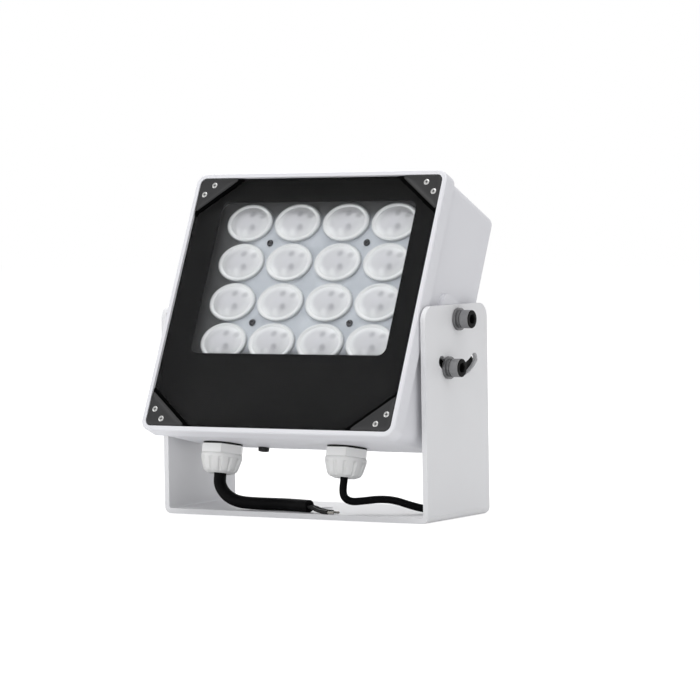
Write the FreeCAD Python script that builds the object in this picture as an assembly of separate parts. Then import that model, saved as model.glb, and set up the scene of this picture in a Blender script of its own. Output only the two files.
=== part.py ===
import FreeCAD, Part
import math
import os

from FreeCAD import Vector

# Infrared illuminator: a sealed lamp head with a 4 by 4 lens array, held in a folded U-bracket.
# Millimetres. X runs across, Y runs from front to back and Z runs up.
# The origin is the centre of the bracket's underside.

# Bracket: one folded sheet
sheet = 3.0
bend_inner_r = 1.0
arm_depth = 67.0
arm_corner_r = 8.0
arm_above_pivot = 8.0
pivot_height = 109.5
pivot_setback = 1.5
centre_hole_d = 8.5
anchor_slot_w = 6.5
anchor_slot_l = 16.0
anchor_slot_span = 110.0
anchor_slot_y = 14.0

# Tilt of the head at rest, and the arc slot that limits it
tilt = 24.0
lock_radius = 28.5
slot_half_angle = 38.0
slot_clearance = 0.3

# Front face of the head
face_w = 160.0
face_h = 150.0
face_corner_r = 4.0
face_drop = 3.3
rim = 2.7
rim_corner_r = 6.5
rim_edge_r = 0.9
rim_lap = 3.0
rim_to_pivot = 34.0

# Head casting behind the rim
rim_depth = 9.0
side_step = 2.2
end_step = 0.9
head_depth = 62.0
head_side_taper = 0.6
head_top_taper = 1.6
head_bottom_taper = 11.5
back_chamfer = 2.2
wall = 3.2
back_wall = 3.4
fin_depth = 4.6
fin_gap = 6.0
fin_pitch = 12.0
fin_count = 11
fin_margin = 9.0
fin_root_flat = 0.4
inner_corner_r = 2.0

# Front glass, its printed border, its gasket and the ledge that they lie on
glass_recess = 1.4
glass_t = 4.0
border_t = 0.4
gasket_t = 1.5
gasket_w = 5.0
ledge_w = 6.5
ledge_t = 4.0
seat_clearance = 0.25
window_w = 128.0
window_h = 91.2
window_top = 13.6
window_corner_r = 5.0

# Corner clamps
clamp_leg_x = 27.0
clamp_leg_z = 21.0
clamp_lip = 2.6
clamp_lip_t = 1.2
clamp_post_depth = 14.0
clamp_screw_r = 1.5
clamp_head_r = 2.3
clamp_head_t = 1.3
clamp_head_edge_r = 0.6
clamp_recess_r = 0.85
clamp_recess_floor = 0.4
clamp_screw_l = 15.0
clamp_screw_far = 10.0
clamp_screw_near = 4.4

# Lens array
lens_count = 4
lens_w = 30.4
lens_h = 22.8
lens_gap_x = 1.6
lens_gap_z = 1.2
lens_front = 10.0
lens_rim_front = 11.6
lens_rim_w = 1.5
lens_rim_step = 0.4
lens_dome_drop = 2.5
lens_dome_mid_r = 0.55
lens_dome_mid_drop = 0.7
lens_seat_w = 1.2
lens_foot_r = 4.0
lens_well_r = 2.8
lens_well_depth = 2.6

# Tray, board, emitters and heat spreader behind the lenses
tray_side_gap = 6.8
tray_edge_z = 4.6
tray_front = 13.5
tray_t = 2.0
tray_hole_gap = 0.3
pillar_r = 3.4
board_front = 25.5
board_t = 1.6
board_corner_r = 3.0
board_side_gap = 1.2
board_edge_z = 2.6
emitter_side = 3.4
emitter_t = 1.7
spreader_t = 4.0
spreader_side_gap = 2.2
array_screw_r = 1.5
array_head_r = 2.7
array_head_t = 2.2
array_recess_r = 1.2
array_recess_floor = 1.0
array_screw_grip = 8.0
post_r = 4.2
thread_clearance = 0.02
hole_clearance = 0.2
tip_clearance = 1.0
select_tol = 0.01

# Driver board on the back wall
driver_w = 96.0
driver_h = 52.0
driver_above_array = 9.5
driver_standoff = 4.0
driver_post_r = 3.2
driver_t = 1.6
driver_inset = 5.0
driver_screw_r = 1.25
driver_head_r = 2.4
driver_head_t = 1.6
driver_screw_grip = 3.4
coil_r = 8.0
coil_hole_r = 3.2
coil_t = 7.0
capacitor_r = 5.0
capacitor_h = 11.0
capacitor_pitch = 13.0
capacitor_x = -2.6
chip_side = 9.0
chip_t = 2.2
terminal_w = 26.0
terminal_h = 8.0
terminal_t = 9.0
terminal_ways = 4
terminal_entry_r = 1.5
terminal_edge = 1.0
chip_x = 4.0
chip_pitch = 20.0
chip_drop = 2.0

# Side pads and the four clamping screws (M6 socket screws)
pad_gap = 0.3
side_gap = 0.8
pad_front = 13.0
pad_above = 11.0
pad_below = 10.0
pad_corner_r = 5.0
boss_r = 7.0
boss_l = 14.0
bolt_r = 3.0
bolt_running_gap = 0.06
bolt_head_r = 5.0
bolt_head_h = 6.0
bolt_socket = 5.0
bolt_socket_depth = 3.0
bolt_grip = 9.5
bolt_edge_r = 0.5
washer_r = 6.2
washer_t = 1.6
washer_gap = 0.2
spring_washer_r = 5.1
spring_washer_t = 1.6
spring_washer_slit = 0.9

# Cable glands in the underside
gland_from_back = 19.2
power_gland_x = -55.5
signal_gland_x = 27.0
gland_thread_r = 8.0
gland_af = 22.0
gland_hex_t = 4.8
gland_stub_t = 8.0
gland_inside = 7.0
gland_bore_gap = 1.2
gland_seat_wall = 1.6
gland_nut_af = 20.0
gland_nut_t = 3.6
gland_nut_gap = 0.1
washer_ring_t = 1.2
washer_ring_r = 11.0
cap_r = 11.6
cap_straight = 5.4
cap_dome = 5.8
cap_mouth_r = 6.6
cap_dome_in = 1.1
cap_dome_out = 0.6
cap_rib_count = 12
cap_rib_r = 0.9
cap_rib_below = 1.5
cap_rib_above = 0.8
seal_gap = 0.05
seal_length = 7.0

# Vent plug in the underside
vent_x = -37.0
vent_from_back = 5.2
vent_r = 4.0
vent_t = 3.0
vent_thread_r = 2.5
vent_edge_r = 0.8

# Leads. Each route's points start at the gland's mouth.
power_d = 7.0
power_core_d = 2.2
power_core_l = 22.0
signal_d = 4.2
signal_core_d = 1.3
signal_core_l = 10.0
mouth_run = 1.0
core_lead_in = 4.0
core_dip = 22.0
core_rise = 10.0
power_route = [
    (-54.9, -24.6, 16.2),
    (-50.0, -25.6, 10.6),
    (-42.0, -25.6, 7.2),
    (-31.0, -24.2, 6.6),
    (-19.0, -22.6, 6.5),
    (-7.0, -22.6, 6.5),
    (6.5, -26.6, 6.5),
]
signal_route = [
    (27.0, -24.9, 16.0),
    (27.6, -24.6, 11.8),
    (30.6, -22.4, 9.4),
    (36.5, -19.0, 9.8),
    (45.0, -16.0, 10.9),
    (54.0, -14.0, 10.4),
    (63.0, -12.2, 7.6),
    (71.5, -8.0, 5.2),
    (76.0, 1.0, 5.1),
    (74.5, 12.5, 5.1),
    (68.5, 24.0, 5.2),
    (61.5, 35.5, 5.3),
    (55.5, 45.5, 3.6),
    (49.0, 56.0, 2.1),
    (42.5, 67.5, 2.1),
]

# Worked-out places. Depths are measured from the rim's front, before the head is tilted.
arm_inner = face_w / 2 + rim + side_gap
arm_outer = arm_inner + sheet
face_top = face_h / 2 - face_drop
face_bottom = -face_h / 2 - face_drop
body_half_w = face_w / 2 + rim - side_step
body_top = face_top + rim - end_step
body_bottom = face_bottom - rim + end_step
ledge = glass_recess + glass_t + border_t + gasket_t
cavity_back = head_depth - fin_depth - back_wall
window_z = face_top - window_top - window_h / 2
pad_face = arm_inner - pad_gap
bolt_seat = arm_outer + washer_gap
array_rise = window_z
lens_pitch_x = lens_w + lens_gap_x
lens_pitch_z = lens_h + lens_gap_z
tray_w = 2 * (body_half_w - wall - tray_side_gap)
tray_h = lens_count * lens_pitch_z - lens_gap_z + 2 * tray_edge_z
boss_inner = pad_face - boss_l
board_w = 2 * (boss_inner - board_side_gap)
board_h = lens_count * lens_pitch_z - lens_gap_z + 2 * board_edge_z
spreader_w = 2 * (boss_inner - spreader_side_gap)
spreader_front = board_front + board_t
spreader_back = spreader_front + spreader_t
driver_back = cavity_back - driver_standoff
driver_front = driver_back - driver_t
driver_rise = array_rise + driver_above_array
underside_angle = math.degrees(math.atan2(head_bottom_taper, head_depth - rim_depth))
underside_l = math.hypot(head_bottom_taper, head_depth - rim_depth)
gland_along = underside_l - gland_from_back
vent_along = underside_l - vent_from_back
X_AXIS = Vector(1, 0, 0)
Y_AXIS = Vector(0, 1, 0)
Z_AXIS = Vector(0, 0, 1)


def block(x0, x1, y0, y1, z0, z1):
    return Part.makeBox(x1 - x0, y1 - y0, z1 - z0, Vector(x0, y0, z0))


def at_depth(depth):
    """Y in the head's own frame, where the pivot is the origin and the face is upright."""
    return depth - rim_to_pivot


def rod(radius, depth0, depth1, x, z):
    """A cylinder along the head's depth."""
    return Part.makeCylinder(radius, depth1 - depth0, Vector(x, at_depth(depth0), z), Y_AXIS)


def cross_rod(radius, x0, x1, y, z):
    """A cylinder across the head."""
    return Part.makeCylinder(radius, x1 - x0, Vector(x0, y, z), X_AXIS)


def rounded_wire(x0, x1, z0, z1, r, y):
    """A rounded rectangle that faces along Y."""
    s = r * (1 - math.sqrt(0.5))
    edges = []
    corners = [
        ((x1 - r, z0), (x1 - s, z0 + s), (x1, z0 + r)),
        ((x1, z1 - r), (x1 - s, z1 - s), (x1 - r, z1)),
        ((x0 + r, z1), (x0 + s, z1 - s), (x0, z1 - r)),
        ((x0, z0 + r), (x0 + s, z0 + s), (x0 + r, z0)),
    ]
    for i, corner in enumerate(corners):
        a, b, c = [Vector(p[0], y, p[1]) for p in corner]
        edges.append(Part.Arc(a, b, c).toShape())
        following = corners[(i + 1) % 4][0]
        edges.append(Part.LineSegment(c, Vector(following[0], y, following[1])).toShape())
    return Part.Wire(Part.__sortEdges__(edges))


def rounded_slab(x0, x1, z0, z1, r, depth0, depth1):
    face = Part.Face(rounded_wire(x0, x1, z0, z1, r, at_depth(depth0)))
    return face.extrude(Vector(0, depth1 - depth0, 0))


def hexagon(af, height):
    """A hexagonal prism along Z, from Z = 0 up."""
    r = af / math.sqrt(3)
    turns = [math.pi / 3 * i for i in range(7)]
    points = [Vector(r * math.cos(a), r * math.sin(a), 0) for a in turns]
    return Part.Face(Part.makePolygon(points)).extrude(Vector(0, 0, height))


def mirrored(shape):
    return shape.mirror(Vector(0, 0, 0), X_AXIS)


def tilted(shape):
    """Moves a head piece from the head's own frame to its place in the bracket."""
    placed = shape.copy()
    placed.rotate(Vector(0, 0, 0), X_AXIS, -tilt)
    placed.translate(Vector(0, pivot_setback, pivot_height))
    return placed


def save(name, shape):
    shape.exportStep("parts/" + name + ".step")


# Bracket
def bracket():
    top = pivot_height + arm_above_pivot
    outer_r = bend_inner_r + sheet
    front = -arm_depth / 2
    outer = block(-arm_outer, arm_outer, front, -front, 0, top)
    inner = block(-arm_inner, arm_inner, front, -front, sheet, top)
    folds = [
        e
        for e in outer.Edges
        if abs(e.BoundBox.ZMax) < select_tol and e.BoundBox.YLength > arm_depth / 2
    ]
    corners = [
        e
        for e in inner.Edges
        if abs(e.BoundBox.ZMax - sheet) < select_tol and e.BoundBox.YLength > arm_depth / 2
    ]
    folded = outer.makeFillet(outer_r, folds).cut(inner.makeFillet(bend_inner_r, corners))
    tops = [
        e
        for e in folded.Edges
        if e.BoundBox.ZMin > top - select_tol and e.BoundBox.YLength < select_tol
    ]
    folded = folded.makeFillet(arm_corner_r, tops)
    cuts = [
        Part.makeCylinder(bolt_r + bolt_running_gap, 2 * arm_outer, pivot_point(-arm_outer), X_AXIS),
        arc_slot(),
        Part.makeCylinder(centre_hole_d / 2, sheet),
    ]
    for side in (-1, 1):
        cuts.append(anchor_slot(side * anchor_slot_span / 2))
    return folded.cut(Part.makeCompound(cuts))


def pivot_point(x):
    return Vector(x, pivot_setback, pivot_height)


def arc_slot():
    """The curved slot under the pivot, cut through both arms."""
    r0 = lock_radius - bolt_r - slot_clearance
    r1 = lock_radius + bolt_r + slot_clearance
    ring = Part.makeCylinder(r1, 2 * arm_outer, Vector(-arm_outer, 0, 0), X_AXIS)
    ring = ring.cut(Part.makeCylinder(r0, 2 * arm_outer, Vector(-arm_outer, 0, 0), X_AXIS))
    reach = 2 * lock_radius
    side = reach * math.tan(math.radians(slot_half_angle))
    wedge = Part.Face(
        Part.makePolygon(
            [
                Vector(-arm_outer, 0, 0),
                Vector(-arm_outer, side, -reach),
                Vector(-arm_outer, -side, -reach),
                Vector(-arm_outer, 0, 0),
            ]
        )
    ).extrude(Vector(2 * arm_outer, 0, 0))
    slot = ring.common(wedge)
    for sign in (-1, 1):
        a = math.radians(sign * slot_half_angle)
        end = Vector(-arm_outer, lock_radius * math.sin(a), -lock_radius * math.cos(a))
        slot = slot.fuse(Part.makeCylinder((r1 - r0) / 2, 2 * arm_outer, end, X_AXIS))
    slot.translate(pivot_point(0))
    return slot


def anchor_slot(x):
    r = anchor_slot_w / 2
    half = anchor_slot_l / 2 - r
    slot = block(x - half, x + half, anchor_slot_y - r, anchor_slot_y + r, 0, sheet)
    for end in (x - half, x + half):
        slot = slot.fuse(Part.makeCylinder(r, sheet, Vector(end, anchor_slot_y, 0)))
    return slot


# Head casting
def body_wires(inset, depths):
    """Outlines of the tapered body, inset by a wall, at each depth."""
    wires = []
    for depth, shrink in depths:
        t = (depth - rim_depth) / (head_depth - rim_depth)
        half = body_half_w - head_side_taper * t - inset - shrink
        z0 = body_bottom + head_bottom_taper * t + inset + shrink
        z1 = body_top - head_top_taper * t - inset - shrink
        r = max(rim_corner_r - inset, inner_corner_r)
        wires.append(rounded_wire(-half, half, z0, z1, r, at_depth(depth)))
    return wires


def clamp_corner(sx, sz, inset, depth0, depth1):
    """A triangle in one corner of the face, its slanted edge moved towards the corner by inset."""
    slant = math.hypot(clamp_leg_x, clamp_leg_z)
    leg_x = clamp_leg_x - inset * slant / clamp_leg_z
    leg_z = clamp_leg_z - inset * slant / clamp_leg_x
    x = sx * face_w / 2
    z = face_top if sz > 0 else face_bottom
    y = at_depth(depth0)
    outline = Part.makePolygon(
        [Vector(x, y, z), Vector(x - sx * leg_x, y, z), Vector(x, y, z - sz * leg_z), Vector(x, y, z)]
    )
    return Part.Face(outline).extrude(Vector(0, depth1 - depth0, 0))


def corners():
    return [(sx, sz) for sz in (1, -1) for sx in (-1, 1)]


def clamp_screw_places(sx, sz):
    x = sx * face_w / 2
    z = face_top if sz > 0 else face_bottom
    return [
        (x - sx * clamp_screw_far, z - sz * clamp_screw_near),
        (x - sx * clamp_screw_near, z - sz * clamp_screw_far),
    ]


def board_screw_places():
    return [(sx * lens_pitch_x, array_rise + sz * lens_pitch_z) for sz in (1, -1) for sx in (-1, 1)]


def driver_screw_places():
    dx = driver_w / 2 - driver_inset
    dz = driver_h / 2 - driver_inset
    return [(sx * dx, driver_rise + sz * dz) for sz in (1, -1) for sx in (-1, 1)]


def head_outside():
    half = face_w / 2 + rim
    band = rounded_slab(-half, half, face_bottom - rim, face_top + rim, rim_corner_r, 0, rim_depth)
    front = [e for e in band.Edges if e.BoundBox.YMax < at_depth(0) + select_tol]
    band = band.makeFillet(rim_edge_r, front)
    sections = [(rim_depth - rim_lap, 0), (head_depth - back_chamfer, 0), (head_depth, back_chamfer)]
    body = Part.makeLoft(body_wires(0, sections), True, True)
    return band.fuse(body)


def head_cavity():
    recess = rounded_slab(-face_w / 2, face_w / 2, face_bottom, face_top, face_corner_r, 0, ledge)
    half = face_w / 2 - ledge_w
    mouth = rounded_slab(
        -half, half, face_bottom + ledge_w, face_top - ledge_w, face_corner_r, ledge, ledge + ledge_t
    )
    sections = [(ledge + ledge_t, 0), (cavity_back, 0)]
    room = Part.makeLoft(body_wires(wall, sections), True, True)
    posts = [clamp_corner(sx, sz, 0, ledge, ledge + clamp_post_depth) for sx, sz in corners()]
    return recess.fuse(mouth.fuse(room).cut(Part.makeCompound(posts)))


def back_grooves():
    """Grooves in the back face that leave upright cooling fins."""
    z0 = body_bottom + head_bottom_taper + fin_margin
    z1 = body_top - head_top_taper - fin_margin
    grooves = []
    for i in range(fin_count):
        x = (i - (fin_count - 1) / 2) * fin_pitch
        half = fin_gap / 2
        r = half - fin_root_flat / 2
        grooves.append(rounded_slab(x - half, x + half, z0, z1, r, head_depth - fin_depth, head_depth))
    return Part.makeCompound(grooves)


def side_pad():
    """The raised pad that the bracket's arm clamps, with the two inner bosses behind it."""
    pad = block(
        body_half_w - wall,
        pad_face,
        -pad_front,
        pad_front,
        -lock_radius - pad_below,
        pad_above,
    )
    pad = pad.makeFillet(pad_corner_r, [e for e in pad.Edges if e.BoundBox.XLength > wall / 2])
    for z in (0, -lock_radius):
        pad = pad.fuse(cross_rod(boss_r, boss_inner, pad_face - pad_gap, 0, z))
    return pad


def bolt_holes():
    depth = bolt_grip + tip_clearance
    holes = []
    for z in (0, -lock_radius):
        holes.append(cross_rod(bolt_r + thread_clearance, pad_face - depth, pad_face, 0, z))
    return Part.makeCompound(holes)


def housing():
    casting = head_outside().cut(head_cavity()).cut(back_grooves())
    pad = side_pad()
    casting = casting.fuse(pad).fuse(mirrored(pad))
    for x, z in board_screw_places():
        casting = casting.fuse(rod(post_r, spreader_back, cavity_back + back_wall / 2, x, z))
    for x, z in driver_screw_places():
        casting = casting.fuse(rod(driver_post_r, driver_back, cavity_back + back_wall / 2, x, z))
    holes = bolt_holes()
    cuts = [holes, mirrored(holes)]
    for x, z in board_screw_places():
        end = spreader_back + array_screw_grip
        cuts.append(rod(array_screw_r + thread_clearance, spreader_back, end, x, z))
    for x, z in driver_screw_places():
        end = driver_back + driver_screw_grip
        cuts.append(rod(driver_screw_r + thread_clearance, driver_back, end, x, z))
    for sx, sz in corners():
        for x, z in clamp_screw_places(sx, sz):
            cuts.append(rod(clamp_screw_r + thread_clearance, ledge, clamp_screw_l + tip_clearance, x, z))
    for x in (power_gland_x, signal_gland_x):
        hole = Part.makeCylinder(gland_thread_r + hole_clearance, 4 * wall, Vector(0, 0, -2 * wall))
        cuts.append(on_underside(hole, x, gland_along))
    vent = Part.makeCylinder(vent_thread_r + thread_clearance, 4 * wall, Vector(0, 0, -2 * wall))
    cuts.append(on_underside(vent, vent_x, vent_along))
    return casting.cut(Part.makeCompound(cuts))


def on_underside(shape, x, along):
    """Stands a shape, modelled hanging down from Z = 0, on the head's sloping underside."""
    placed = shape.copy()
    placed.rotate(Vector(0, 0, 0), X_AXIS, underside_angle)
    a = math.radians(underside_angle)
    y = at_depth(rim_depth) + along * math.cos(a)
    z = body_bottom + along * math.sin(a)
    placed.translate(Vector(x, y, z))
    return placed


# Glass, printed border and gasket
def face_plate(clearance, depth0, depth1, cut):
    """A plate that fills the recess, with its corners cut off beside the clamps."""
    half = face_w / 2 - clearance
    plate = rounded_slab(
        -half, half, face_bottom + clearance, face_top - clearance, face_corner_r, depth0, depth1
    )
    for sx, sz in corners():
        plate = plate.cut(clamp_corner(sx, sz, cut, depth0, depth1))
    return plate


def front_glass():
    return face_plate(seat_clearance, glass_recess, glass_recess + glass_t, clamp_lip)


def printed_border():
    depth0 = glass_recess + glass_t
    plate = face_plate(seat_clearance, depth0, depth0 + border_t, clamp_lip)
    half = window_w / 2
    window = rounded_slab(
        -half,
        half,
        window_z - window_h / 2,
        window_z + window_h / 2,
        window_corner_r,
        depth0,
        depth0 + border_t,
    )
    return plate.cut(window)


def gasket():
    depth0 = ledge - gasket_t
    plate = face_plate(seat_clearance, depth0, ledge, clamp_lip)
    half = face_w / 2 - gasket_w - seat_clearance
    z0 = face_bottom + gasket_w + seat_clearance
    z1 = face_top - gasket_w - seat_clearance
    inside = rounded_slab(-half, half, z0, z1, face_corner_r, depth0, ledge)
    for sx, sz in corners():
        inside = inside.cut(clamp_corner(sx, sz, -gasket_w + clamp_lip, depth0, ledge))
    return plate.cut(inside)


def corner_clamp(sx, sz):
    """A triangular clamp: a thick corner on the ledge, with a lip over the glass's cut corner."""
    lip = clamp_corner(sx, sz, 0, glass_recess - clamp_lip_t, glass_recess)
    foot = clamp_corner(sx, sz, clamp_lip + seat_clearance, glass_recess, ledge)
    half = face_w / 2 - seat_clearance
    edge = rounded_slab(
        -half,
        half,
        face_bottom + seat_clearance,
        face_top - seat_clearance,
        face_corner_r,
        0,
        ledge,
    )
    clamp = lip.fuse(foot).common(edge)
    for x, z in clamp_screw_places(sx, sz):
        clamp = clamp.cut(rod(clamp_screw_r + hole_clearance, 0, ledge, x, z))
        clamp = clamp.cut(rod(clamp_head_r + hole_clearance, 0, glass_recess, x, z))
    return clamp


def clamp_screws():
    screws = []
    for sx, sz in corners():
        for x, z in clamp_screw_places(sx, sz):
            front = glass_recess - clamp_head_t
            head = rod(clamp_head_r, front, glass_recess, x, z)
            edges = [e for e in head.Edges if e.BoundBox.YMax < at_depth(front) + select_tol]
            head = head.makeFillet(clamp_head_edge_r, edges)
            head = head.cut(rod(clamp_recess_r, front, glass_recess - clamp_recess_floor, x, z))
            screws.append(head.fuse(rod(clamp_screw_r, glass_recess, clamp_screw_l, x, z)))
    return Part.makeCompound(screws)


# Lens array
def lens_centre(row, column):
    middle = (lens_count - 1) / 2
    return (column - middle) * lens_pitch_x, array_rise + (middle - row) * lens_pitch_z


def stretched(shape):
    """Widens a round lens shape into the oval that the array uses."""
    matrix = FreeCAD.Matrix()
    matrix.scale(lens_w / lens_h, 1, 1)
    return shape.transformGeometry(matrix)


def lens_shape():
    """A round solid of revolution about Y, domed in front, with a cone down to its emitter."""
    r = lens_h / 2
    dome_r = r - lens_rim_w
    dome_edge = lens_front + lens_dome_drop
    bulge = lens_front + lens_dome_mid_drop
    foot = board_front
    profile = [
        Part.Arc(
            flat(0, lens_front), flat(dome_r * lens_dome_mid_r, bulge), flat(dome_r, dome_edge)
        ).toShape(),
        Part.LineSegment(flat(dome_r, dome_edge), flat(dome_r + lens_rim_step, lens_rim_front)).toShape(),
        Part.LineSegment(flat(dome_r + lens_rim_step, lens_rim_front), flat(r, lens_rim_front)).toShape(),
        Part.LineSegment(flat(r, lens_rim_front), flat(r, tray_front)).toShape(),
        Part.LineSegment(flat(r, tray_front), flat(r - lens_seat_w, tray_front)).toShape(),
        Part.LineSegment(flat(r - lens_seat_w, tray_front), flat(lens_foot_r, foot)).toShape(),
        Part.LineSegment(flat(lens_foot_r, foot), flat(lens_well_r, foot)).toShape(),
        Part.LineSegment(flat(lens_well_r, foot), flat(lens_well_r, foot - lens_well_depth)).toShape(),
        Part.LineSegment(
            flat(lens_well_r, foot - lens_well_depth), flat(0, foot - lens_well_depth)
        ).toShape(),
        Part.LineSegment(flat(0, foot - lens_well_depth), flat(0, lens_front)).toShape(),
    ]
    face = Part.Face(Part.Wire(profile))
    return stretched(face.revolve(Vector(0, 0, 0), Y_AXIS, 360))


def flat(r, depth):
    return Vector(r, at_depth(depth), 0)


def lens(row, column):
    x, z = lens_centre(row, column)
    shape = lens_shape()
    shape.translate(Vector(x, 0, z))
    return shape


def lens_sites():
    return [(row, column) for row in range(lens_count) for column in range(lens_count)]


def lens_tray():
    """The moulded tray that the lenses sit in, with four pillars down to the board."""
    tray = rounded_slab(
        -tray_w / 2,
        tray_w / 2,
        array_rise - tray_h / 2,
        array_rise + tray_h / 2,
        window_corner_r,
        tray_front,
        tray_front + tray_t,
    )
    r = lens_h / 2 - lens_seat_w + tray_hole_gap
    cutter = stretched(rod(r, tray_front, tray_front + tray_t, 0, 0))
    cuts = []
    for row, column in lens_sites():
        x, z = lens_centre(row, column)
        hole = cutter.copy()
        hole.translate(Vector(x, 0, z))
        cuts.append(hole)
    tray = tray.cut(Part.makeCompound(cuts))
    for sx, sz in corners():
        tray = tray.cut(clamp_corner(sx, sz, -hole_clearance, tray_front, tray_front + tray_t))
    for x, z in board_screw_places():
        tray = tray.fuse(rod(pillar_r, tray_front + tray_t, board_front, x, z))
        tray = tray.cut(rod(array_screw_r + hole_clearance, tray_front, board_front, x, z))
    return tray


def plain_board(w, h, rise, depth0, depth1, holes, hole_r):
    board = rounded_slab(-w / 2, w / 2, rise - h / 2, rise + h / 2, board_corner_r, depth0, depth1)
    for x, z in holes:
        board = board.cut(rod(hole_r + hole_clearance, depth0, depth1, x, z))
    return board


def emitters():
    half = emitter_side / 2
    solids = []
    for row, column in lens_sites():
        x, z = lens_centre(row, column)
        y1 = at_depth(board_front)
        solids.append(block(x - half, x + half, y1 - emitter_t, y1, z - half, z + half))
    return Part.makeCompound(solids)


def array_screws():
    screws = []
    for x, z in board_screw_places():
        head = rod(array_head_r, tray_front - array_head_t, tray_front, x, z)
        head = head.cut(rod(array_recess_r, tray_front - array_head_t, tray_front - array_recess_floor, x, z))
        shank = rod(array_screw_r, tray_front, spreader_back + array_screw_grip - tip_clearance, x, z)
        screws.append(head.fuse(shank))
    return Part.makeCompound(screws)


# Driver electronics
def driver_board():
    """The board on the back wall, with clearance round the array's upper posts."""
    places = driver_screw_places()
    board = plain_board(driver_w, driver_h, driver_rise, driver_front, driver_back, places, driver_screw_r)
    for x, z in board_screw_places():
        board = board.cut(rod(post_r + hole_clearance, driver_front, driver_back, x, z))
    return board


def driver_coil():
    x = -driver_w / 4
    ring = rod(coil_r, driver_front - coil_t, driver_front, x, driver_rise)
    return ring.cut(rod(coil_hole_r, driver_front - coil_t, driver_front, x, driver_rise))


def driver_capacitors():
    cans = []
    for i in range(3):
        x = capacitor_x + i * capacitor_pitch
        cans.append(rod(capacitor_r, driver_front - capacitor_h, driver_front, x, driver_rise + driver_h / 5))
    return Part.makeCompound(cans)


def driver_chips():
    chips = []
    half = chip_side / 2
    y1 = at_depth(driver_front)
    z = driver_rise - chip_drop
    for x in (chip_x, chip_x + chip_pitch):
        chips.append(block(x - half, x + half, y1 - chip_t, y1, z - half, z + half))
    return Part.makeCompound(chips)


def terminal_block():
    z0 = driver_rise - driver_h / 2 + terminal_edge
    y1 = at_depth(driver_front)
    body = block(-terminal_w / 2, terminal_w / 2, y1 - terminal_t, y1, z0, z0 + terminal_h)
    way = terminal_w / terminal_ways
    for i in range(terminal_ways):
        x = (i - (terminal_ways - 1) / 2) * way
        entry = Part.makeCylinder(terminal_entry_r, terminal_h / 2, Vector(x, y1 - terminal_t / 2, z0))
        body = body.cut(entry)
    return body


def driver_screws():
    screws = []
    for x, z in driver_screw_places():
        head = rod(driver_head_r, driver_front - driver_head_t, driver_front, x, z)
        shank = rod(driver_screw_r, driver_front, driver_back + driver_screw_grip - tip_clearance / 2, x, z)
        screws.append(head.fuse(shank))
    return Part.makeCompound(screws)


# Clamping screws at the pivot and in the arc slot
def bolt(z):
    seat = bolt_seat + washer_t + spring_washer_t
    shank = cross_rod(bolt_r, pad_face - bolt_grip, seat, 0, z)
    head = cross_rod(bolt_head_r, seat, seat + bolt_head_h, 0, z)
    top = [e for e in head.Edges if e.BoundBox.XMin > seat + bolt_head_h - select_tol]
    head = head.makeFillet(bolt_edge_r, top)
    socket = hexagon(bolt_socket, bolt_socket_depth)
    socket.rotate(Vector(0, 0, 0), Y_AXIS, 90)
    socket.translate(Vector(seat + bolt_head_h - bolt_socket_depth, 0, z))
    return head.fuse(shank).cut(socket)


def flat_washers():
    rings = []
    for z in (0, -lock_radius):
        ring = cross_rod(washer_r, bolt_seat, bolt_seat + washer_t, 0, z)
        ring = ring.cut(cross_rod(bolt_r + hole_clearance, bolt_seat, bolt_seat + washer_t, 0, z))
        rings += [ring, mirrored(ring)]
    return Part.makeCompound(rings)


def spring_washers():
    """Split rings, one under each screw's head."""
    x0 = bolt_seat + washer_t
    x1 = x0 + spring_washer_t
    half = spring_washer_slit / 2
    rings = []
    for z in (0, -lock_radius):
        ring = cross_rod(spring_washer_r, x0, x1, 0, z)
        ring = ring.cut(cross_rod(bolt_r + hole_clearance, x0, x1, 0, z))
        ring = ring.cut(block(x0, x1, -half, half, z, z + 2 * spring_washer_r))
        rings += [ring, mirrored(ring)]
    return Part.makeCompound(rings)


# Cable glands, modelled hanging down from the underside at Z = 0
def tube(outer_r, inner_r, z0, z1):
    shape = Part.makeCylinder(outer_r, z1 - z0, Vector(0, 0, z0))
    return shape.cut(Part.makeCylinder(inner_r, z1 - z0, Vector(0, 0, z0)))


def gland_body(cable_d):
    bore = cable_d / 2 + gland_bore_gap
    hex_top = -washer_ring_t
    hex_low = hex_top - gland_hex_t
    flange = hexagon(gland_af, gland_hex_t)
    flange.translate(Vector(0, 0, hex_low))
    stem = Part.makeCylinder(gland_thread_r, wall + gland_inside - hex_top, Vector(0, 0, hex_top))
    stub = Part.makeCylinder(gland_thread_r, gland_stub_t, Vector(0, 0, hex_low - gland_stub_t))
    body = flange.fuse(stem).fuse(stub)
    low = hex_low - gland_stub_t
    body = body.cut(Part.makeCylinder(bore, wall + gland_inside - low, Vector(0, 0, low)))
    seat = gland_thread_r - gland_seat_wall
    return body.cut(Part.makeCylinder(seat, seal_length, Vector(0, 0, low)))


def gland_washer():
    return tube(washer_ring_r, gland_thread_r + hole_clearance, -washer_ring_t, 0)


def gland_nut():
    nut = hexagon(gland_nut_af, gland_nut_t)
    nut.translate(Vector(0, 0, wall + gland_nut_gap))
    return nut.cut(Part.makeCylinder(gland_thread_r + thread_clearance, wall + gland_nut_t + gland_nut_gap))


def seal_bottom():
    return -washer_ring_t - gland_hex_t - gland_stub_t


def gland_seal(cable_d):
    low = seal_bottom()
    outer = gland_thread_r - gland_seat_wall - seal_gap
    return tube(outer, cable_d / 2 + seal_gap, low, low + seal_length)


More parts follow.
